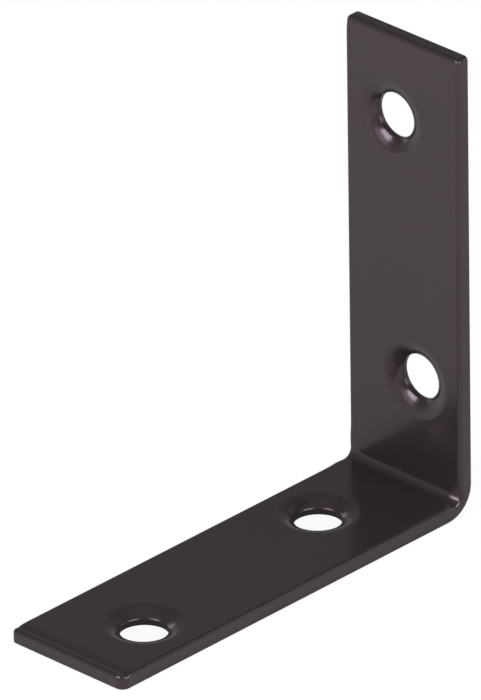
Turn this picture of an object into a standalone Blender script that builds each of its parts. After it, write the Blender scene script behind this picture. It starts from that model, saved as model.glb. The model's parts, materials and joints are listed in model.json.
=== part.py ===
"""Chair corner bracket: one steel strip with four countersunk screw holes, folded to a right angle.

Metres, +Z up. The strip lies on its horizontal leg, with the fold at -X and the upright leg rising
from it. The origin is the middle of the footprint, on the surface that the leg rests on.

It is made in the order of the real one. A blank is cut to its outline, its edges get their rolled
and crisp sides, the holes are pierced and countersunk in the flat, and the strip is folded last.
In the flat, X runs along the strip from the top of the upright leg, Y runs across it, Z is 0 on
the face that becomes the outside of the corner, and the face that becomes the inside looks up.
"""

import math

import bmesh
import bpy

# Overall sizes, the legs measured outside to outside as the strip is marked out. It is folded
# a little past the mark, which makes the upright leg longer and the horizontal one shorter.
LEG_LENGTH = 0.060
UPRIGHT_LENGTH = 0.060
FOLD_PAST_MARK = 0.0004
STRIP_WIDTH = 0.018
THICKNESS = 0.002

# The fold. A punch with a small nose presses it, so the outside stays rounder than the inside,
# and the strip is a little thinner there.
FOLD_INNER_RADIUS = 0.0012
FOLD_OUTER_RADIUS = 0.0042
FOLD_STEPS = 14

# Outline and edges. Shearing rolls the edge of the face it enters and leaves the far one crisp.
CORNER_RADIUS = 0.0007
CORNER_STEPS = 5
ROLLED_EDGE = 0.0005
CRISP_EDGE = 0.0003
EDGE_SEGMENTS = 4

# Cropping the strip to length also drags the inner face down towards each end.
END_DROP = 0.0002
END_DROP_LENGTH = 0.0016
END_DROP_STEPS = 3

# Metal squeezed by the fold fills most of the rolled edge there.
SQUEEZE_FILL = 0.8
SQUEEZE_LENGTH = 0.0024
SQUEEZE_STEPS = 4

# Screw holes: a bore with a 90 degree countersink, its angle here measured from the axis. The
# press rolls the inner face softly down into it, and rounds its neck and the hole's outer end.
BORE_RADIUS = 0.00285
BORE_LENGTH = 0.0010
SINK_ANGLE = math.radians(45)
RIM_ROUND = 0.0031
RIM_STEPS = 6
NECK_ROUND = 0.00025
NECK_STEPS = 3
EXIT_ROUND = 0.0006
EXIT_STEPS = 3
HOLE_STEPS = 40

# Where the holes are as marked out: from the end of their leg, from the outer corner, and to
# either side of the strip's middle.
HOLE_FROM_END = 0.0111
HOLE_FROM_CORNER = 0.0155
HOLE_STAGGER = 0.0018

# A cutter runs this far past the faces that it leaves, and its lips clear them by a little.
CUT_OVERRUN = 0.001
LIP_CLEARANCE = 0.00003

# Faces this close to one plane are one face, and edges softer than this are shaded smooth.
ONE_PLANE = math.radians(0.5)
SMOOTH_UP_TO = math.radians(35)

COAT_COLOUR = (0.028, 0.020, 0.021, 1.0)
COAT_ROUGHNESS = 0.32
COAT_METALLIC = 0.0


def fold_reach():
    """Distance from the sharp outer corner to where both faces are flat again."""
    return max(FOLD_OUTER_RADIUS, THICKNESS + FOLD_INNER_RADIUS)


def way_through_fold(radius, height):
    """Length that a face covers through the fold: straight, arc, straight."""
    return math.pi / 2 * radius + 2 * (fold_reach() - height - radius)


def fold_allowance():
    """Length of flat strip that the fold takes up, halfway between its two faces."""
    inside = way_through_fold(FOLD_INNER_RADIUS, THICKNESS)
    outside = way_through_fold(FOLD_OUTER_RADIUS, 0.0)
    return (inside + outside) / 2


def folded_upright_length():
    return UPRIGHT_LENGTH + FOLD_PAST_MARK


def folded_leg_length():
    return LEG_LENGTH - FOLD_PAST_MARK


def fold_start():
    """Where the fold begins along the flat strip."""
    return folded_upright_length() - fold_reach()


def fold_end():
    return fold_start() + fold_allowance()


def blank_length():
    return fold_end() + folded_leg_length() - fold_reach()


def clear_scene():
    for obj in list(bpy.data.objects):
        bpy.data.objects.remove(obj, do_unlink=True)


def new_collection(name):
    collection = bpy.data.collections.new(name)
    bpy.context.scene.collection.children.link(collection)
    return collection


def add_object(name, data, collection):
    obj = bpy.data.objects.new(name, data)
    collection.objects.link(obj)
    return obj


def make_guide(obj):
    """A guide shapes the part but isn't one of its pieces."""
    obj.hide_render = True
    obj.display_type = "WIRE"


def coat_material():
    """Dark brown coat, satin, over the whole strip."""
    material = bpy.data.materials.new("brown_coat")
    material.use_nodes = True
    shader = material.node_tree.nodes["Principled BSDF"]
    shader.inputs["Base Color"].default_value = COAT_COLOUR
    shader.inputs["Roughness"].default_value = COAT_ROUGHNESS
    shader.inputs["Metallic"].default_value = COAT_METALLIC
    return material


def evaluated_mesh(obj):
    """The object's shape with its modifiers, in world space."""
    bpy.context.view_layer.update()
    graph = bpy.context.evaluated_depsgraph_get()
    mesh = bpy.data.meshes.new_from_object(obj.evaluated_get(graph))
    mesh.transform(obj.matrix_world)
    return mesh


def blank_outline():
    """Outline of the flat blank, going round once, each corner an arc."""
    near = CORNER_RADIUS
    far = blank_length() - CORNER_RADIUS
    side = STRIP_WIDTH / 2 - CORNER_RADIUS
    centres = ((far, side), (near, side), (near, -side), (far, -side))
    points = []
    for turn, (x, y) in enumerate(centres):
        for step in range(CORNER_STEPS + 1):
            angle = math.pi / 2 * (turn + step / CORNER_STEPS)
            points.append((x + CORNER_RADIUS * math.cos(angle), y + CORNER_RADIUS * math.sin(angle)))
    return points


def flat_blank(collection):
    """The outline filled and given the strip's thickness, closed, with one face on each side."""
    outline = blank_outline()
    curve = bpy.data.curves.new("blank_outline", "CURVE")
    curve.dimensions = "2D"
    curve.fill_mode = "BOTH"
    curve.extrude = THICKNESS / 2
    spline = curve.splines.new("POLY")
    spline.points.add(len(outline) - 1)
    for point, (x, y) in zip(spline.points, outline):
        point.co = (x, y, 0.0, 1.0)
    spline.use_cyclic_u = True
    drawn = add_object("blank_outline", curve, collection)
    drawn.location.z = THICKNESS / 2
    mesh = evaluated_mesh(drawn)
    bpy.data.objects.remove(drawn, do_unlink=True)

    shape = bmesh.new()
    shape.from_mesh(mesh)
    bmesh.ops.remove_doubles(shape, verts=shape.verts, dist=1e-6)
    bmesh.ops.dissolve_limit(shape, angle_limit=ONE_PLANE, verts=shape.verts, edges=shape.edges)
    bmesh.ops.recalc_face_normals(shape, faces=shape.faces)
    shape.to_mesh(mesh)
    shape.free()
    return add_object("flat_pattern", mesh, collection)


def round_edges(blank):
    """Rolls the upper rim and only breaks the lower one, by the weight of each edge."""
    mesh = blank.data
    weights = mesh.attributes.new("bevel_weight_edge", "FLOAT", "EDGE")
    for edge in mesh.edges:
        heights = [mesh.vertices[index].co.z for index in edge.vertices]
        if min(heights) > THICKNESS / 2:
            weights.data[edge.index].value = 1.0
        elif max(heights) < THICKNESS / 2:
            weights.data[edge.index].value = CRISP_EDGE / ROLLED_EDGE
    bevel = blank.modifiers.new("rolled_and_crisp_edges", "BEVEL")
    bevel.limit_method = "WEIGHT"
    bevel.width = ROLLED_EDGE
    bevel.segments = EDGE_SEGMENTS
    bevel.use_clamp_overlap = False


def hole_centres():
    """Each hole in the flat, from the top of the upright leg to the far end, side to side in turn."""
    along = (
        HOLE_FROM_END,
        UPRIGHT_LENGTH - HOLE_FROM_CORNER,
        blank_length() - LEG_LENGTH + HOLE_FROM_CORNER,
        blank_length() - HOLE_FROM_END,
    )
    side = -1
    for x in along:
        yield x, side * HOLE_STAGGER
        side = -side


def arc_points(centre, radius, start, end, steps):
    """Points of an arc from one angle to another, with both of its ends."""
    points = []
    for step in range(steps + 1):
        angle = start + (end - start) * step / steps
        points.append((centre[0] + radius * math.cos(angle), centre[1] + radius * math.sin(angle)))
    return points


def run_on(start, through, height):
    """The point at this height on the line from one point through another."""
    share = (height - start[1]) / (through[1] - start[1])
    return start[0] + (through[0] - start[0]) * share, height


def hole_profile():
    """Half section of the cutter as (radius, height), top to bottom on its outer side."""
    slope = math.pi / 2 - SINK_ANGLE
    mouth_radius = BORE_RADIUS + (THICKNESS - BORE_LENGTH) * math.tan(SINK_ANGLE)
    rim_centre = (mouth_radius + RIM_ROUND * math.tan(slope / 2), THICKNESS - RIM_ROUND)
    neck_centre = (BORE_RADIUS + NECK_ROUND, BORE_LENGTH - NECK_ROUND * math.tan(SINK_ANGLE / 2))
    exit_centre = (BORE_RADIUS + EXIT_ROUND, EXIT_ROUND)
    rim = arc_points(rim_centre, RIM_ROUND, math.pi / 2, math.pi / 2 + slope, RIM_STEPS)
    neck = arc_points(neck_centre, NECK_ROUND, math.pi - SINK_ANGLE, math.pi, NECK_STEPS)
    exit_end = arc_points(exit_centre, EXIT_ROUND, math.pi, math.pi * 3 / 2, EXIT_STEPS)
    upper_lip = run_on(rim[1], rim[0], THICKNESS + LIP_CLEARANCE)
    lower_lip = run_on(exit_end[-2], exit_end[-1], -LIP_CLEARANCE)
    profile = [(0.0, THICKNESS + CUT_OVERRUN), (upper_lip[0], THICKNESS + CUT_OVERRUN), upper_lip]
    profile += rim[1:] + neck + exit_end[:-1]
    profile += [lower_lip, (lower_lip[0], -CUT_OVERRUN), (0.0, -CUT_OVERRUN)]
    return profile


def hole_cutter(name, centre, collection):
    """A turned cutter: the profile spun round a vertical axis."""
    profile = hole_profile()
    mesh = bpy.data.meshes.new(name)
    rungs = [(index, index + 1) for index in range(len(profile) - 1)]
    mesh.from_pydata([(radius, 0.0, height) for radius, height in profile], rungs, [])
    cutter = add_object(name, mesh, collection)
    cutter.location = (centre[0], centre[1], 0.0)
    screw = cutter.modifiers.new("turned", "SCREW")
    screw.steps = HOLE_STEPS
    screw.render_steps = HOLE_STEPS
    screw.use_merge_vertices = True
    screw.merge_threshold = 1e-6
    make_guide(cutter)
    return cutter


def pierce_holes(blank, collection):
    """Cuts every hole at once, as each cut alone would divide the faces that the next one meets."""
    for number, centre in enumerate(hole_centres(), start=1):
        hole_cutter(f"hole_cutter_{number}", centre, collection)
    cut = blank.modifiers.new("holes", "BOOLEAN")
    cut.operation = "DIFFERENCE"
    cut.solver = "EXACT"
    cut.operand_type = "COLLECTION"
    cut.collection = collection


def stations():
    """Where the flat strip needs rows of points before its faces can curve."""
    for step in range(FOLD_STEPS + 1):
        yield fold_start() + fold_allowance() * step / FOLD_STEPS
    for step in range(1, SQUEEZE_STEPS + 1):
        away = SQUEEZE_LENGTH * step / SQUEEZE_STEPS
        yield fold_start() - away
        yield fold_end() + away
    for step in range(1, END_DROP_STEPS + 1):
        inset = ROLLED_EDGE + (END_DROP_LENGTH - ROLLED_EDGE) * step / END_DROP_STEPS
        yield inset
        yield blank_length() - inset


def add_stations(shape):
    for x in stations():
        everything = shape.verts[:] + shape.edges[:] + shape.faces[:]
        bmesh.ops.bisect_plane(shape, geom=everything, dist=1e-7, plane_co=(x, 0, 0), plane_no=(1, 0, 0))


def drop_ends(point):
    """Lowers the inner face towards the end of the strip, in full at the end itself."""
    from_end = min(point.x, blank_length() - point.x)
    nearness = max(0.0, 1 - from_end / END_DROP_LENGTH)
    point.z -= END_DROP * nearness**2 * point.z / THICKNESS


def fill_rolled_edge(point):
    """Pushes the rolled edge out towards a square corner, most of all in the middle of the fold."""
    middle = (fold_start() + fold_end()) / 2
    reach = fold_allowance() / 2 + SQUEEZE_LENGTH
    closeness = max(0.0, 1 - (abs(point.x - middle) / reach) ** 2) ** 2
    across = abs(point.y) - (STRIP_WIDTH / 2 - ROLLED_EDGE)
    up = point.z - (THICKNESS - ROLLED_EDGE)
    if min(across, up) <= 0.0 or closeness == 0.0:
        return
    to_square = math.hypot(across, up) / max(across, up)
    growth = 1 + SQUEEZE_FILL * closeness * (to_square - 1)
    point.y = math.copysign(STRIP_WIDTH / 2 - ROLLED_EDGE + across * growth, point.y)
    point.z = THICKNESS - ROLLED_EDGE + up * growth


def face_point(part, radius, height):
    """(x, z) from the sharp outer corner, at a part of a face's way down and round the fold."""
    straight = fold_reach() - height - radius
    gone = part * way_through_fold(radius, height)
    arc = math.pi / 2 * radius
    if gone < straight:
        return height, fold_reach() - gone
    if gone > straight + arc:
        return height + radius + gone - straight - arc, height
    turn = (gone - straight) / radius
    centre = height + radius
    return centre - radius * math.cos(turn), centre - radius * math.sin(turn)


def folded(point):
    """A flat point's place on the folded strip, measured from the sharp outer corner."""
    if point.x <= fold_start():
        return point.z, point.y, folded_upright_length() - point.x
    if point.x >= fold_end():
        return folded_leg_length() - (blank_length() - point.x), point.y, point.z
    part = (point.x - fold_start()) / fold_allowance()
    outside = face_point(part, FOLD_OUTER_RADIUS, 0.0)
    inside = face_point(part, FOLD_INNER_RADIUS, THICKNESS)
    share = point.z / THICKNESS
    x = outside[0] + (inside[0] - outside[0]) * share
    z = outside[1] + (inside[1] - outside[1]) * share
    return x, point.y, z


def folded_strip(blank, collection, material):
    """The finished bracket: the flat pattern with its ends dropped, its edges filled and its fold."""
    shape = bmesh.new()
    shape.from_mesh(evaluated_mesh(blank))
    add_stations(shape)
    for vert in shape.verts:
        drop_ends(vert.co)
        fill_rolled_edge(vert.co)
        x, y, z = folded(vert.co)
        vert.co = (x - folded_leg_length() / 2, y, z)
    bmesh.ops.recalc_face_normals(shape, faces=shape.faces)
    mesh = bpy.data.meshes.new("corner_bracket")
    shape.to_mesh(mesh)
    shape.free()
    mesh.shade_smooth()
    mesh.set_sharp_from_angle(angle=SMOOTH_UP_TO)
    mesh.materials.append(material)
    return add_object("corner_bracket", mesh, collection)


def main():
    clear_scene()
    bracket = new_collection("chair_corner_bracket")
    pattern = new_collection("flat_pattern")
    cutters = new_collection("hole_cutters")
    blank = flat_blank(pattern)
    round_edges(blank)
    pierce_holes(blank, cutters)
    make_guide(blank)
    folded_strip(blank, bracket, coat_material())


main()
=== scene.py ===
# %% [markdown]
# A chair corner bracket: one steel strip, folded to a right angle, with two countersunk screw holes
# in each leg and a dark brown coat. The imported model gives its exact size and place. This notebook
# builds the same bracket again with the soft edges, pressed rims and paint that an eye looks for,
# and then sets up the white studio that it is photographed in.

import json
import math

import bmesh
import bpy
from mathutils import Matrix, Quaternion, Vector


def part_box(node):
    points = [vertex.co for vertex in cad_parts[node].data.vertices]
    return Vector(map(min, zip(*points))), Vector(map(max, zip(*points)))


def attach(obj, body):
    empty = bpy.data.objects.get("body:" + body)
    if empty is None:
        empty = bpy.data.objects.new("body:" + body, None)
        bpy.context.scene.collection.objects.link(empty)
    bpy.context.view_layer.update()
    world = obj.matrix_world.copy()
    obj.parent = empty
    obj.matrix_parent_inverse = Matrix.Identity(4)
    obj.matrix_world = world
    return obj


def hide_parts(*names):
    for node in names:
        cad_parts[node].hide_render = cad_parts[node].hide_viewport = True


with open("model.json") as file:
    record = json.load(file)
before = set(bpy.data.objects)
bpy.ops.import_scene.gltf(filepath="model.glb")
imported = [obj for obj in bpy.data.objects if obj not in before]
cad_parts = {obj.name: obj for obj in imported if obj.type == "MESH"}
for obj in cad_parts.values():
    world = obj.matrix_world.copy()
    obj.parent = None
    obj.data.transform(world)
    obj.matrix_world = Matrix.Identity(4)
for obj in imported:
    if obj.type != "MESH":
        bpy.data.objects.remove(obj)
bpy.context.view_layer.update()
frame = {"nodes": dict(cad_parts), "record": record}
MM = 0.001

low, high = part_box("corner_bracket")
print("bracket, mm:", [round(side / MM, 2) for side in high - low])

# %% [markdown]
# The camera comes first, because everything else is judged through it. The picture was taken from
# far away with a very long lens, so the bracket's edges run almost parallel. The camera is described
# the way a photographer would: where it aims, from what side and height, how far off, and how much
# it is tilted. Its direction is a unit vector pointing back from the bracket to the lens.

# %% Camera
AIM = Vector((-21.11, -20.23, 14.63)) * MM
CAMERA_AZIMUTH = math.radians(43.87)
CAMERA_ELEVATION = math.radians(27.92)
CAMERA_ROLL = math.radians(-0.80)
CAMERA_DISTANCE = 2.346
LENS_MM = 1020.0


def direction(azimuth, elevation):
    """Unit vector towards a point of the sky, with azimuth 0 along +X and 90 degrees along +Y."""
    level = math.cos(elevation)
    return Vector((level * math.cos(azimuth), level * math.sin(azimuth), math.sin(elevation)))


def place_camera():
    data = bpy.data.cameras.new("studio_camera")
    data.lens = LENS_MM
    camera = bpy.data.objects.new("studio_camera", data)
    bpy.context.scene.collection.objects.link(camera)
    back = direction(CAMERA_AZIMUTH, CAMERA_ELEVATION)
    camera.location = AIM + back * CAMERA_DISTANCE
    camera.rotation_mode = "QUATERNION"
    camera.rotation_quaternion = back.to_track_quat("Z", "Y") @ Quaternion((0, 0, 1), CAMERA_ROLL)
    bpy.context.scene.camera = camera
    return camera


camera = place_camera()
print("camera at, m:", [round(value, 3) for value in camera.location])

# %% [markdown]
# Modelling by operators means selecting something and then acting on it. On screen that is a click.
# In a script the selection is a question asked of every point, edge or face, so these two helpers
# carry most of the work: one starts a clean edit of one object, the other selects what passes a test.
# NEAR is how close two places must be to count as one. MOSTLY, CLEARLY and SLIGHTLY say how much of
# a direction a face's normal must have to count as pointing that way.

# %% Helpers for selecting
NEAR = 0.005 * MM
MOSTLY = 0.9
CLEARLY = 0.3
SLIGHTLY = 0.01


def start_edit(piece):
    """Leaves edit mode, deselects everything, and opens this piece alone."""
    finish_edit()
    bpy.ops.object.select_all(action="DESELECT")
    piece.select_set(True)
    bpy.context.view_layer.objects.active = piece
    bpy.ops.object.mode_set(mode="EDIT")


def finish_edit():
    if bpy.context.object and bpy.context.object.mode == "EDIT":
        bpy.ops.object.mode_set(mode="OBJECT")


def pick(kind, passes):
    """Selects the VERT, EDGE or FACE items for which passes(item) is true, and counts them."""
    bpy.ops.mesh.select_mode(type=kind)
    bpy.ops.mesh.select_all(action="DESELECT")
    shape = bmesh.from_edit_mesh(bpy.context.object.data)
    items = {"VERT": shape.verts, "EDGE": shape.edges, "FACE": shape.faces}[kind]
    chosen = [item for item in items if passes(item)]
    for item in chosen:
        item.select_set(True)
    shape.select_flush_mode()
    bmesh.update_edit_mesh(bpy.context.object.data)
    return len(chosen)


def apply_modifier(piece, name):
    finish_edit()
    bpy.ops.object.select_all(action="DESELECT")
    piece.select_set(True)
    bpy.context.view_layer.objects.active = piece
    bpy.ops.object.modifier_apply(modifier=name)


def near(a, b):
    return abs(a - b) < NEAR


# %% [markdown]
# The strip starts as a box the size of the horizontal leg. A cut across it marks off the part that
# the upright stands on, and the top of that part is extruded to the full height. Extruding keeps the
# bracket one closed skin, as the real strip is one piece of metal. The cut has done its work then,
# and dissolving flat seams turns each side back into a single L-shaped face, which the round fold
# of the next step needs.

# %% Box and extrusion
THICKNESS = 2.0 * MM
BACK, BOTTOM = low.x, low.z
END, TOP = high.x, high.z
SIDE = high.y
FLAT_SEAM = math.radians(0.5)


def leg_and_upright():
    bpy.ops.object.select_all(action="DESELECT")
    middle = ((BACK + END) / 2, 0, BOTTOM + THICKNESS / 2)
    bpy.ops.mesh.primitive_cube_add(size=1, location=middle, scale=(END - BACK, 2 * SIDE, THICKNESS))
    strip = bpy.context.object
    strip.name = "coated_bracket"
    bpy.ops.object.transform_apply(location=True, rotation=True, scale=True)
    start_edit(strip)
    bpy.ops.mesh.select_all(action="SELECT")
    at_corner = BACK + THICKNESS
    bpy.ops.mesh.bisect(plane_co=(at_corner, 0, 0), plane_no=(1, 0, 0))
    pick("FACE", lambda face: face.normal.z > MOSTLY and face.calc_center_median().x < at_corner)
    rise = TOP - BOTTOM - THICKNESS
    bpy.ops.mesh.extrude_region_move(TRANSFORM_OT_translate={"value": (0, 0, rise)})
    bpy.ops.mesh.select_all(action="SELECT")
    bpy.ops.mesh.dissolve_limited(angle_limit=FLAT_SEAM)
    finish_edit()
    return strip


bracket = leg_and_upright()
print("faces of the plain L:", len(bracket.data.polygons))

# %% [markdown]
# A press folds the strip over a punch. The outside stretches into a wide round of about 4 mm, and
# the inside keeps the small nose of the punch, about 1 mm. Beveling the one outer edge and the one
# inner edge with many segments gives those two arcs. The four short edges at the ends are only
# broken by the shears, and one of them, at the near end of the leg, came out rounder.

# %% Fold and end corners
FOLD_OUTER_RADIUS = 4.2 * MM
FOLD_INNER_RADIUS = 1.0 * MM
FOLD_SEGMENTS = 24
CORNER_RADIUS = 0.6 * MM
WORN_CORNER_RADIUS = 1.2 * MM
CORNER_SEGMENTS = 8


def bevel_picked(width, segments):
    bpy.ops.mesh.bevel(offset=width, offset_type="OFFSET", segments=segments, clamp_overlap=False)


def edge_at(edge, x=None, z=None):
    """True if both ends of the edge lie at this x and this z."""
    for point in (vert.co for vert in edge.verts):
        if x is not None and not near(point.x, x):
            return False
        if z is not None and not near(point.z, z):
            return False
    return True


def round_fold(strip):
    start_edit(strip)
    pick("EDGE", lambda edge: edge_at(edge, x=BACK, z=BOTTOM))
    bevel_picked(FOLD_OUTER_RADIUS, FOLD_SEGMENTS)
    pick("EDGE", lambda edge: edge_at(edge, x=BACK + THICKNESS, z=BOTTOM + THICKNESS))
    bevel_picked(FOLD_INNER_RADIUS, FOLD_SEGMENTS)


def is_short_corner(edge):
    """An edge through the thickness, at one of the four corners of the strip."""
    a, b = (vert.co for vert in edge.verts)
    at_side = near(abs(a.y), SIDE) and near(a.y, b.y)
    through = near((a - b).length, THICKNESS)
    at_end = (near(a.x, END) and near(b.x, END)) or (near(a.z, TOP) and near(b.z, TOP))
    return at_side and through and at_end


def is_worn_corner(edge):
    return is_short_corner(edge) and edge_at(edge, x=END) and edge.verts[0].co.y > 0


def round_corners(strip):
    start_edit(strip)
    worn = pick("EDGE", is_worn_corner)
    bevel_picked(WORN_CORNER_RADIUS, CORNER_SEGMENTS)
    others = pick("EDGE", is_short_corner)
    bevel_picked(CORNER_RADIUS, CORNER_SEGMENTS)
    return worn, others


round_fold(bracket)
print("short corners rounded:", round_corners(bracket))

# %% [markdown]
# Shears do not leave square edges. Where the blade enters, it drags the surface down and rolls the
# edge over, and on the far face the metal breaks off almost crisp. The inner faces of this bracket
# carry the rolled edge, so their whole border is beveled by half a millimetre, and the border of the
# outer faces by less. An edge belongs to a border when exactly one of its two faces is on that side.

# %% Rolled and crisp borders
ROLLED_EDGE = 0.5 * MM
CRISP_EDGE = 0.3 * MM
EDGE_SEGMENTS = 6


def on_inner_side(face):
    """The two faces that look into the corner and the hollow round between them."""
    middle = face.calc_center_median()
    at_end = near(middle.x, END) or near(middle.z, TOP)
    level_across = abs(face.normal.y) < SLIGHTLY
    return level_across and max(face.normal.x, face.normal.z) > CLEARLY and not at_end


def on_outer_side(face):
    return min(face.normal.x, face.normal.z) < -SLIGHTLY


def roll_edges(strip):
    start_edit(strip)
    rolled = pick("EDGE", lambda edge: sum(map(on_inner_side, edge.link_faces)) == 1)
    bevel_picked(ROLLED_EDGE, EDGE_SEGMENTS)
    crisp = pick("EDGE", lambda edge: sum(map(on_outer_side, edge.link_faces)) == 1)
    bevel_picked(CRISP_EDGE, EDGE_SEGMENTS // 2)
    return rolled, crisp


print("border edges, rolled and crisp:", roll_edges(bracket))

# %% [markdown]
# Three small shapes run along the strip and fade out. The ends carry the mark of the shears. The
# metal that the fold squeezes together pushes the rolled edge full, so that the border is nearly
# square in the corner. The floor of the crease falls away towards both sides. A shape that fades
# needs rows of points to fade across, and bisecting the strip at even steps adds them without
# changing any face. FLAT_AGAIN is the distance from the outer corner at which the fold has ended on
# both faces.

# %% Rows of points for the shapes that fade
DIP_LENGTH = 2.4 * MM
DIP_ROWS = 14
SQUEEZE_LENGTH = 2.6 * MM
SQUEEZE_ROWS = 8
FALL_WIDTH = 2.0 * MM
FALL_ROWS = 8
FLAT_AGAIN = max(FOLD_OUTER_RADIUS, THICKNESS + FOLD_INNER_RADIUS)


def cut_row(x=None, y=None, z=None):
    at = (x or 0, y or 0, z or 0)
    across = tuple(float(value is not None) for value in (x, y, z))
    bpy.ops.mesh.select_all(action="SELECT")
    bpy.ops.mesh.bisect(plane_co=at, plane_no=across, threshold=NEAR / 10)


def add_rows(strip):
    start_edit(strip)
    for row in range(1, DIP_ROWS + 1):
        inset = ROLLED_EDGE + (DIP_LENGTH - ROLLED_EDGE) * row / DIP_ROWS
        cut_row(x=END - inset)
        cut_row(z=TOP - inset)
    for row in range(SQUEEZE_ROWS + 1):
        away = FLAT_AGAIN + SQUEEZE_LENGTH * row / SQUEEZE_ROWS
        cut_row(x=BACK + away)
        cut_row(z=BOTTOM + away)
    for row in range(FALL_ROWS):
        aside = SIDE - FALL_WIDTH + (FALL_WIDTH - ROLLED_EDGE) * row / FALL_ROWS
        cut_row(y=aside)
        cut_row(y=-aside)
    finish_edit()
    return len(strip.data.vertices)


print("points after the rows:", add_rows(bracket))

# %% [markdown]
# No operator knows these shapes, so the points are moved by a rule. Every point is described as
# the press sees it: how far it is along the strip, and how deep it lies under the inner surface. In
# the fold, depth is measured from the centre of the hollow round. The mark of the shears is a short
# profile, read off a list of pairs in millimetres, distance from the end and depth. The surface dips,
# and at the leg it rises again to a low lip. The fall lowers the floor of the crease more and more
# towards its open ends, mostly the near one. The squeeze pushes a point of the rolled quarter circle
# outwards to the square corner that it was cut from.

# %% Mark the ends, lower the crease and fill the edge in the fold
LEG_PROFILE = ((0.0, 0.14), (0.55, 0.14), (0.9, 0.19), (1.75, 0.03), (2.3, 0.0))
TOP_PROFILE = ((0.0, 0.22), (0.5, 0.17), (1.0, 0.08), (1.6, 0.02), (2.2, 0.0))
CREASE_FALL = 0.35 * MM
FAR_SIDE_SHARE = 0.25
CREASE_REACH = 1.6 * MM
SQUEEZE_FILL = 0.8
HOLLOW_X = BACK + THICKNESS + FOLD_INNER_RADIUS
HOLLOW_Z = BOTTOM + THICKNESS + FOLD_INNER_RADIUS


def depth_and_way_out(point):
    """Depth under the inner surface, and the unit vector (x, z) that leads out of it."""
    x, z = point.x - HOLLOW_X, point.z - HOLLOW_Z
    if x < 0 and z < 0:
        reach = math.hypot(x, z)
        return reach - FOLD_INNER_RADIUS, (-x / reach, -z / reach)
    if x >= z:
        return BOTTOM + THICKNESS - point.z, (0, 1)
    return BACK + THICKNESS - point.x, (1, 0)


def end_depth(from_end, profile):
    """How far the shears drew the surface down at this distance from the end, all in metres."""
    for (start, first), (stop, last) in zip(profile, profile[1:]):
        if from_end <= stop * MM:
            share = max(0, (from_end - start * MM) / ((stop - start) * MM))
            return (first + (last - first) * share) * MM
    return 0


def ease(share):
    """Goes from 0 to 1 with a soft start and a soft stop."""
    return share**2 * (3 - 2 * share)


def lower(point):
    depth, out = depth_and_way_out(point)
    surface_share = max(0, 1 - depth / THICKNESS)
    drop = end_depth(END - point.x, LEG_PROFILE) + end_depth(TOP - point.z, TOP_PROFILE)
    aside = max(0, (abs(point.y) - SIDE) / FALL_WIDTH + 1)
    from_hollow = max(point.x - HOLLOW_X, point.z - HOLLOW_Z, 0)
    nearness = max(0, 1 - from_hollow / CREASE_REACH)
    side_share = 1 if point.y > 0 else FAR_SIDE_SHARE
    drop += side_share * CREASE_FALL * aside**2 * ease(nearness)
    point.x -= out[0] * drop * surface_share
    point.z -= out[1] * drop * surface_share


def squeeze(point):
    from_corner = max(point.x - BACK, point.z - BOTTOM)
    fades_over = FLAT_AGAIN + SQUEEZE_LENGTH - THICKNESS
    smooth = ease(max(0, 1 - (from_corner - THICKNESS) / fades_over))
    depth, out = depth_and_way_out(point)
    across = abs(point.y) - (SIDE - ROLLED_EDGE)
    up = ROLLED_EDGE - depth
    if min(across, up) <= 0 or smooth == 0:
        return
    to_square = math.hypot(across, up) / max(across, up)
    growth = SQUEEZE_FILL * smooth * (to_square - 1)
    point.x += out[0] * up * growth
    point.z += out[1] * up * growth
    point.y += math.copysign(across * growth, point.y)


for vertex in bracket.data.vertices:
    lower(vertex.co)
    squeeze(vertex.co)
bracket.data.update()
print("deepest point of the end mark, mm:", max(down for place, down in LEG_PROFILE))

# %% [markdown]
# Each screw hole is a straight bore that opens into a 90 degree cone for the head of the screw. The
# tool that cuts it is a cylinder whose top is extruded and scaled into that cone. The record lists
# each bore as an opening, so the middle of its box gives the place of the hole, and the tool is
# turned on its side for the holes of the upright. All four tools are joined and subtracted at once.

# %% Screw holes
BORE_RADIUS = 2.85 * MM
BORE_LENGTH = 1.0 * MM
OVERRUN = 1.0 * MM
HOLE_SIDES = 96
openings = {opening["name"]: opening["box_m"] for opening in frame["record"]["physics"]["openings"]}


def hole_places():
    """Centre of each hole on the outer face, and whether it is in the upright."""
    for name, (corner, opposite) in openings.items():
        if "bore" in name:
            middle = (Vector(corner) + Vector(opposite)) / 2
            upright = "upright" in name
            if upright:
                middle.x = BACK
            else:
                middle.z = BOTTOM
            yield middle, upright


def countersink_tool(middle, upright):
    bpy.ops.object.select_all(action="DESELECT")
    depth = BORE_LENGTH + OVERRUN
    centre = (0, 0, BORE_LENGTH - depth / 2)
    bpy.ops.mesh.primitive_cylinder_add(
        vertices=HOLE_SIDES, radius=BORE_RADIUS, depth=depth, location=centre
    )
    tool = bpy.context.object
    bpy.ops.object.transform_apply(location=True, rotation=True, scale=True)
    start_edit(tool)
    pick("FACE", lambda face: face.normal.z > MOSTLY)
    rise = THICKNESS + OVERRUN - BORE_LENGTH
    bpy.ops.mesh.extrude_region_move(TRANSFORM_OT_translate={"value": (0, 0, rise)})
    widen = (BORE_RADIUS + rise) / BORE_RADIUS
    bpy.ops.transform.resize(value=(widen, widen, 1))
    finish_edit()
    tool.rotation_euler = (0, math.pi / 2 if upright else 0, 0)
    tool.location = middle
    bpy.ops.object.transform_apply(location=True, rotation=True, scale=True)
    return tool


def cut_holes(strip):
    tools = [countersink_tool(middle, upright) for middle, upright in hole_places()]
    bpy.ops.object.select_all(action="DESELECT")
    for tool in tools:
        tool.select_set(True)
    bpy.context.view_layer.objects.active = tools[0]
    bpy.ops.object.join()
    cut = strip.modifiers.new("screw_holes", "BOOLEAN")
    cut.operation = "DIFFERENCE"
    cut.solver = "EXACT"
    cut.object = tools[0]
    apply_modifier(strip, "screw_holes")
    bpy.data.objects.remove(tools[0])
    return len(tools)


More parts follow.
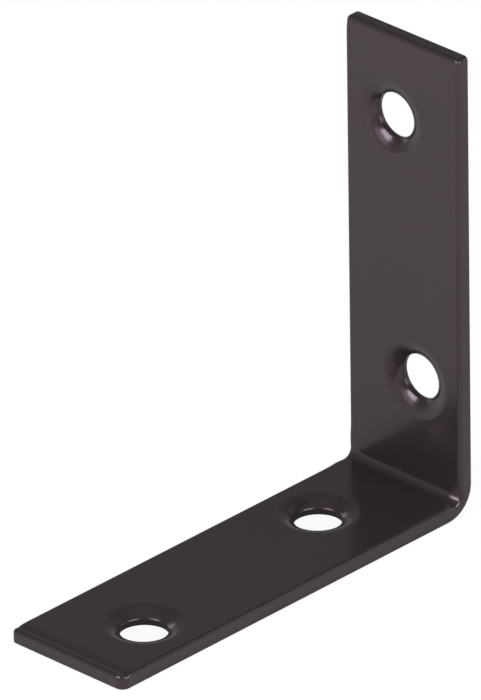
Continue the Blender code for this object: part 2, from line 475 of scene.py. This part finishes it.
print("holes cut:", cut_holes(bracket))

# %% [markdown]
# The countersinks are pressed, not drilled. The metal round the punch is drawn down with it, so the
# face rolls into each hole in one long soft curve, and only the neck, where the cone meets the bore,
# is tight. The rings to soften are found by their distance from the axis of a hole and their height
# in it. A bevel is given its width, measured back from the ring along each face, and to get a round
# of a wanted radius that width is the radius times the tangent of half the angle it turns through.

# %% Soft rims
MOUTH_RADIUS = BORE_RADIUS + THICKNESS - BORE_LENGTH
MOUTH_ROUND = 3.1 * MM
NECK_ROUND = 0.4 * MM
EXIT_ROUND = 0.6 * MM
SINK_TURN = math.radians(45)
EXIT_TURN = math.radians(90)
MOUTH_SEGMENTS = 16
TIGHT_SEGMENTS = 6


def is_ring(edge, radius, height):
    """True if the edge is part of the ring of this radius and height in any of the holes."""
    for middle, upright in hole_places():
        on_ring = True
        for vert in edge.verts:
            off = vert.co - middle
            rise, aside = (off.x, off.z) if upright else (off.z, off.x)
            on_ring = on_ring and near(rise, height) and near(math.hypot(aside, off.y), radius)
        if on_ring:
            return True
    return False


def soften_rings(strip):
    counts = []
    start_edit(strip)
    for radius, height, softness, turn, segments in (
        (MOUTH_RADIUS, THICKNESS, MOUTH_ROUND, SINK_TURN, MOUTH_SEGMENTS),
        (BORE_RADIUS, BORE_LENGTH, NECK_ROUND, SINK_TURN, TIGHT_SEGMENTS),
        (BORE_RADIUS, 0, EXIT_ROUND, EXIT_TURN, TIGHT_SEGMENTS),
    ):
        counts.append(pick("EDGE", lambda edge: is_ring(edge, radius, height)))
        bevel_picked(softness * math.tan(turn / 2), segments)
    finish_edit()
    return counts


print("ring edges beveled:", soften_rings(bracket))

# %% [markdown]
# Smooth shading blends the bevels into the flats. On its own it would also tint the flat faces, so
# the flats are marked as strong, and the weighted normal modifier then gives every border point the
# direction of its flat face. The check at the end counts edges that do not have exactly two faces,
# and a closed skin has none.

# %% Shading and a check of the skin
SMOOTH_UP_TO = math.radians(80)


def is_flat(face):
    return max(abs(part) for part in face.normal) > math.cos(FLAT_SEAM)


def shade(strip):
    start_edit(strip)
    flats = pick("FACE", is_flat)
    bpy.ops.mesh.mod_weighted_strength(set=True, face_strength="STRONG")
    bpy.ops.mesh.select_all(action="INVERT")
    bpy.ops.mesh.mod_weighted_strength(set=True, face_strength="WEAK")
    finish_edit()
    bpy.ops.object.shade_smooth_by_angle(angle=SMOOTH_UP_TO)
    weighted = strip.modifiers.new("flat_faces_lead", "WEIGHTED_NORMAL")
    weighted.use_face_influence = True
    weighted.keep_sharp = True
    apply_modifier(strip, "flat_faces_lead")
    return flats


def skin_report(strip):
    shape = bmesh.new()
    shape.from_mesh(strip.data)
    unmatched = sum(len(edge.link_faces) != 2 for edge in shape.edges)
    volume = shape.calc_volume() / MM**3
    shape.free()
    return f"{len(strip.data.polygons)} faces, {unmatched} unmatched edges, {volume:.0f} mm3"


print("strong faces:", shade(bracket))
print(skin_report(bracket))

# %% [markdown]
# The coat is a thin dark brown paint with a satin gloss. What the eye reads as paint, and not as
# plastic, is small: the surface waves very slightly like orange skin, and the gloss is not the same
# everywhere. Both patterns are noise on Object coordinates, so they stay on the bracket from any side.
# They live in a node group with named inputs, and the shader itself stays in the material.

# %% Paint texture group
PEEL_SCALE = 700.0
PEEL_DETAIL = 1.0
CLOUD_SCALE = 60.0
CLOUD_DETAIL = 3.0


def group_socket(group, name, direction_word, kind, value=None):
    socket = group.interface.new_socket(name=name, in_out=direction_word, socket_type=kind)
    if value is not None:
        socket.default_value = value


def paint_texture():
    group = bpy.data.node_groups.new("paint_texture", "ShaderNodeTree")
    group_socket(group, "Vector", "INPUT", "NodeSocketVector")
    group_socket(group, "Peel Scale", "INPUT", "NodeSocketFloat", PEEL_SCALE)
    group_socket(group, "Cloud Scale", "INPUT", "NodeSocketFloat", CLOUD_SCALE)
    group_socket(group, "Peel", "OUTPUT", "NodeSocketFloat")
    group_socket(group, "Cloud", "OUTPUT", "NodeSocketFloat")
    nodes, links = group.nodes, group.links
    entry = nodes.new("NodeGroupInput")
    leave = nodes.new("NodeGroupOutput")
    for scale, result, detail in (
        ("Peel Scale", "Peel", PEEL_DETAIL),
        ("Cloud Scale", "Cloud", CLOUD_DETAIL),
    ):
        noise = nodes.new("ShaderNodeTexNoise")
        noise.inputs["Detail"].default_value = detail
        links.new(entry.outputs["Vector"], noise.inputs["Vector"])
        links.new(entry.outputs[scale], noise.inputs["Scale"])
        links.new(noise.outputs["Fac"], leave.inputs[result])
    return group


texture_group = paint_texture()
sockets = texture_group.interface.items_tree
print("group outputs:", [socket.name for socket in sockets if socket.in_out == "OUTPUT"])

# %% [markdown]
# The material mixes two very close browns by the slow noise, and lets the same noise move the
# roughness a little. The fine noise becomes height for a Bump node. The gloss that belongs to the
# whole surface is set on the shader's own sockets: its index of refraction, and a faint rose tint,
# because the real coat throws the white floor back slightly warm.

# %% Brown coat
COAT_DARK = (0.0222, 0.0170, 0.0176, 1.0)
COAT_LIGHT = (0.0255, 0.0195, 0.0202, 1.0)
COAT_ROUGHNESS = (0.19, 0.22)
COAT_IOR = 1.55
COAT_SHEEN = (1.0, 0.78, 0.95, 1.0)
PEEL_DEPTH = 0.002 * MM


def brown_coat():
    material = bpy.data.materials.new("brown_coat")
    material.use_nodes = True
    nodes, links = material.node_tree.nodes, material.node_tree.links
    shader = nodes["Principled BSDF"]
    shader.inputs["IOR"].default_value = COAT_IOR
    shader.inputs["Specular Tint"].default_value = COAT_SHEEN
    place = nodes.new("ShaderNodeTexCoord")
    texture = nodes.new("ShaderNodeGroup")
    texture.node_tree = texture_group
    links.new(place.outputs["Object"], texture.inputs["Vector"])
    colour = nodes.new("ShaderNodeMix")
    colour.data_type = "RGBA"
    colour.inputs["A"].default_value = COAT_DARK
    colour.inputs["B"].default_value = COAT_LIGHT
    links.new(texture.outputs["Cloud"], colour.inputs["Factor"])
    links.new(colour.outputs["Result"], shader.inputs["Base Color"])
    gloss = nodes.new("ShaderNodeMapRange")
    gloss.inputs["To Min"].default_value = COAT_ROUGHNESS[0]
    gloss.inputs["To Max"].default_value = COAT_ROUGHNESS[1]
    links.new(texture.outputs["Cloud"], gloss.inputs["Value"])
    links.new(gloss.outputs["Result"], shader.inputs["Roughness"])
    bump = nodes.new("ShaderNodeBump")
    bump.inputs["Distance"].default_value = PEEL_DEPTH
    links.new(texture.outputs["Peel"], bump.inputs["Height"])
    links.new(bump.outputs["Normal"], shader.inputs["Normal"])
    return material


coat = brown_coat()
bracket.data.materials.clear()
bracket.data.materials.append(coat)
frame["nodes"]["corner_bracket"].data.materials.clear()
frame["nodes"]["corner_bracket"].data.materials.append(coat)
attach(bracket, "root")
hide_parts("corner_bracket")
print("materials:", [slot.material.name for slot in bracket.material_slots])

# %% [markdown]
# A dark glossy thing shows its surroundings more than its colour, so the studio is built around what
# the bracket mirrors. The upright and the side mirror the white floor. The top of the leg mirrors
# the room behind, which is dim. Near the fold each leg mirrors the other, dark one. The floor is
# plain white paper: the camera sees it almost as pure white, with only a trace of the shadow, and
# everything else sees it as lit. Inside the bracket's footprint the paper colour is painted dark as a
# painted shadow, and because the walls of the bores mirror that painted shadow they stay dark too.

# %% Floor
FLOOR_HALF = 3.0
FLOOR_GAP = 0.02 * MM
FLOOR_WHITE = (0.73, 0.73, 0.73, 1.0)
# Painted shadow: the dark paper colour inside the bracket's footprint, standing in for the contact
# shadow.
FLOOR_PAINTED_SHADOW = (0.2, 0.2, 0.2, 1.0)
PAPER_GLOW = 1.06
PAPER_GLOW_SHARE = 0.88


def white_paper():
    material = bpy.data.materials.new("white_paper")
    material.use_nodes = True
    nodes, links = material.node_tree.nodes, material.node_tree.links
    nodes.clear()
    lit = nodes.new("ShaderNodeBsdfDiffuse")
    place = nodes.new("ShaderNodeTexCoord")
    split = nodes.new("ShaderNodeSeparateXYZ")
    links.new(place.outputs["Object"], split.inputs["Vector"])
    # Mask of the bracket's footprint, where the paper colour is painted dark as a painted shadow.
    covered = []
    for axis, reach in (("X", END - ROLLED_EDGE), ("Y", SIDE - ROLLED_EDGE)):
        size = nodes.new("ShaderNodeMath")
        size.operation = "ABSOLUTE"
        inside = nodes.new("ShaderNodeMath")
        inside.operation = "LESS_THAN"
        inside.inputs[1].default_value = reach
        links.new(split.outputs[axis], size.inputs[0])
        links.new(size.outputs["Value"], inside.inputs[0])
        covered.append(inside)
    painted_shadow_mask = nodes.new("ShaderNodeMath")
    painted_shadow_mask.operation = "MULTIPLY"
    links.new(covered[0].outputs["Value"], painted_shadow_mask.inputs[0])
    links.new(covered[1].outputs["Value"], painted_shadow_mask.inputs[1])
    colour = nodes.new("ShaderNodeMix")
    colour.data_type = "RGBA"
    colour.inputs["A"].default_value = FLOOR_WHITE
    colour.inputs["B"].default_value = FLOOR_PAINTED_SHADOW
    links.new(painted_shadow_mask.outputs["Value"], colour.inputs["Factor"])
    links.new(colour.outputs["Result"], lit.inputs["Color"])
    glow = nodes.new("ShaderNodeEmission")
    glow.inputs["Strength"].default_value = PAPER_GLOW
    seen = nodes.new("ShaderNodeLightPath")
    share = nodes.new("ShaderNodeMath")
    share.operation = "MULTIPLY"
    share.inputs[1].default_value = PAPER_GLOW_SHARE
    mix = nodes.new("ShaderNodeMixShader")
    out = nodes.new("ShaderNodeOutputMaterial")
    links.new(seen.outputs["Is Camera Ray"], share.inputs[0])
    links.new(share.outputs["Value"], mix.inputs["Fac"])
    links.new(lit.outputs["BSDF"], mix.inputs[1])
    links.new(glow.outputs["Emission"], mix.inputs[2])
    links.new(mix.outputs["Shader"], out.inputs["Surface"])
    return material


def paper_floor():
    bpy.ops.object.select_all(action="DESELECT")
    bpy.ops.mesh.primitive_plane_add(size=2 * FLOOR_HALF, location=(0, 0, BOTTOM - FLOOR_GAP))
    floor = bpy.context.object
    floor.name = "paper_floor"
    bpy.ops.object.transform_apply(location=True, rotation=True, scale=True)
    floor.data.materials.append(white_paper())
    return floor


floor = paper_floor()
print("floor is", 2 * FLOOR_HALF, "m wide")

# %% [markdown]
# Two bright softboxes stand left and right of the camera. The rims of the holes mirror them as small
# white spots, and the place and size of each spot give the lamp's direction and angle. The cloth
# under the left one glows a little, and two dim panels, low on the far left and behind the right,
# draw the soft lines beside the holes and along the near edges. All stand only half a metre away.
# That is why the floor gets darker within a hand's breadth, and with it the top of the upright.
# The list gives each lamp's direction and size in degrees and how bright its cloth looks, where 1 is
# white. Lamp power follows from that: brightness times area times pi.

# %% Softboxes
def softbox(name, azimuth, elevation, distance, width, height, brightness):
    """An area lamp of this angular width and height (radians), facing the bracket."""
    data = bpy.data.lights.new(name, "AREA")
    data.shape = "RECTANGLE"
    data.size = 2 * distance * math.tan(width / 2)
    data.size_y = 2 * distance * math.tan(height / 2)
    data.energy = brightness * math.pi * data.size * data.size_y
    lamp = bpy.data.objects.new(name, data)
    bpy.context.scene.collection.objects.link(lamp)
    towards = direction(azimuth, elevation)
    lamp.location = towards * distance
    lamp.rotation_mode = "QUATERNION"
    lamp.rotation_quaternion = towards.to_track_quat("Z", "Y")
    return lamp


SOFTBOX_DISTANCE = 0.5
for name, azimuth, elevation, width, height, brightness in (
    ("left_softbox", -11, 39, 35, 23, 8.8),
    ("left_skirt", -13, 17, 36, 14, 1.8),
    ("right_softbox", 92, 30, 42, 24, 6.4),
    ("low_panel", -92, 15, 30, 20, 1.2),
    ("far_panel", 146, 20, 30, 22, 1.1),
):
    angles = [math.radians(value) for value in (azimuth, elevation)]
    spans = [math.radians(value) for value in (width, height)]
    lamp = softbox(name, *angles, SOFTBOX_DISTANCE, *spans, brightness)
    print(name, "power, W:", round(lamp.data.energy, 1))

# %% [markdown]
# The room itself is the world. Near the horizon it is bright, like the foot of a paper backdrop. The
# wall above is dim and gets dimmer upwards, and the ceiling is a little lighter. The darkest part is
# what the hollows of the pressed ends and rims mirror. The ramp runs over the height of a direction,
# from 0 at the horizon to 1 straight up. The camera sees the room as pure white, so that the picture
# has one white background from any side.

# %% Room
ROOM_FOOT = 0.55
ROOM_WALL = 0.22
ROOM_DIM = 0.15
ROOM_CEILING = 0.29
FOOT_END = 0.10
WALL_START = 0.18
WALL_END = 0.52
DIM_START = 0.64
DIM_END = 0.82
CEILING_START = 0.92


def studio_room():
    world = bpy.data.worlds.new("studio_room")
    world.use_nodes = True
    bpy.context.scene.world = world
    nodes, links = world.node_tree.nodes, world.node_tree.links
    nodes.clear()
    place = nodes.new("ShaderNodeTexCoord")
    split = nodes.new("ShaderNodeSeparateXYZ")
    ramp = nodes.new("ShaderNodeValToRGB")
    ramp.color_ramp.elements[0].position = FOOT_END
    ramp.color_ramp.elements[0].color = (ROOM_FOOT, ROOM_FOOT, ROOM_FOOT, 1)
    ramp.color_ramp.elements[1].position = WALL_START
    ramp.color_ramp.elements[1].color = (ROOM_WALL, ROOM_WALL, ROOM_WALL, 1)
    for position, level in (
        (WALL_END, ROOM_WALL),
        (DIM_START, ROOM_DIM),
        (DIM_END, ROOM_DIM),
        (CEILING_START, ROOM_CEILING),
    ):
        stop = ramp.color_ramp.elements.new(position)
        stop.color = (level, level, level, 1)
    room = nodes.new("ShaderNodeBackground")
    white = nodes.new("ShaderNodeBackground")
    white.inputs["Color"].default_value = (1, 1, 1, 1)
    seen = nodes.new("ShaderNodeLightPath")
    mix = nodes.new("ShaderNodeMixShader")
    out = nodes.new("ShaderNodeOutputWorld")
    links.new(place.outputs["Generated"], split.inputs["Vector"])
    links.new(split.outputs["Z"], ramp.inputs["Fac"])
    links.new(ramp.outputs["Color"], room.inputs["Color"])
    links.new(seen.outputs["Is Camera Ray"], mix.inputs["Fac"])
    links.new(room.outputs["Background"], mix.inputs[1])
    links.new(white.outputs["Background"], mix.inputs[2])
    links.new(mix.outputs["Shader"], out.inputs["Surface"])


studio_room()
bpy.context.scene.view_settings.view_transform = "Standard"
print("view transform:", bpy.context.scene.view_settings.view_transform)

# %% [markdown]
# The last cell leaves edit mode.

# %% Finish
finish_edit()
